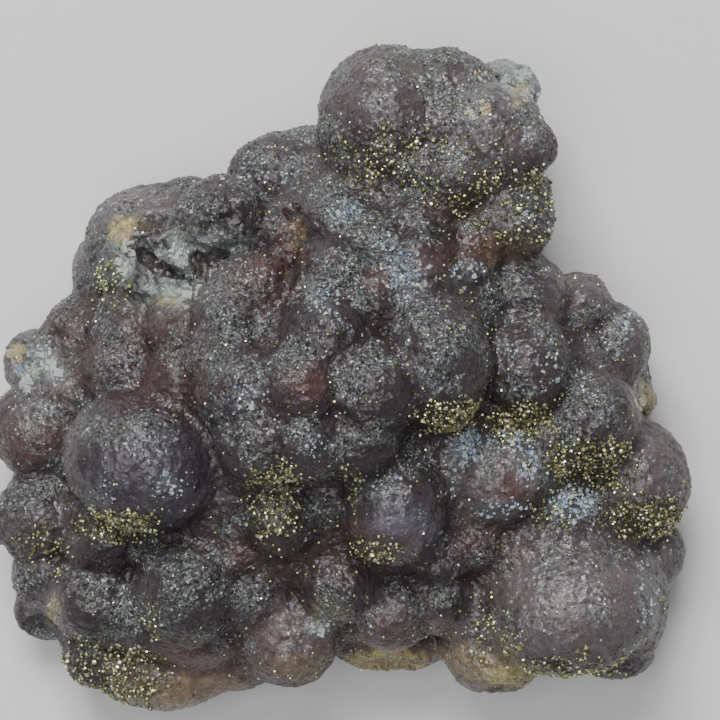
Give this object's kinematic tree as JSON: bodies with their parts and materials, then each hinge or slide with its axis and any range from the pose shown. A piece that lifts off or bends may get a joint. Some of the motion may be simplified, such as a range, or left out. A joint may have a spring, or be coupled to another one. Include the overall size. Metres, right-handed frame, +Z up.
{
  "type": "fluorite and pyrite specimen",
  "caption": "Grape-like mass of mauve-grey fluorite lobes dusted with small brassy pyrite crystals, lying on its flat back.",
  "frame": {"origin": "middle of the specimen's box, on the flat back that it rests on", "axes": "+Z up, out of the lumpy face; +X along the longest side; +Y towards the crown"},
  "size_m": [0.1346, 0.1272, 0.0612],
  "materials": {
    "fluorite": "translucent plum-grey fluorite with a sparkling skin of tiny crystals, paler and iron-stained at its broken rim",
    "pyrite": "bright pale-brass pyrite crystals with flat, mirror-like faces"
  },
  "bodies": {
    "root": {"fluorite": "fluorite", "pyrite_crust_crown": "pyrite", "pyrite_crust_under_dark_lobe": "pyrite", "pyrite_crust_right_lobe": "pyrite", "pyrite_crust_middle_pocket": "pyrite", "pyrite_crust_right_shoulder": "pyrite", "pyrite_crust_right_rim": "pyrite", "pyrite_crust_egg_shadow": "pyrite", "pyrite_crust_foot_left": "pyrite"}
  },
  "joints": []
}
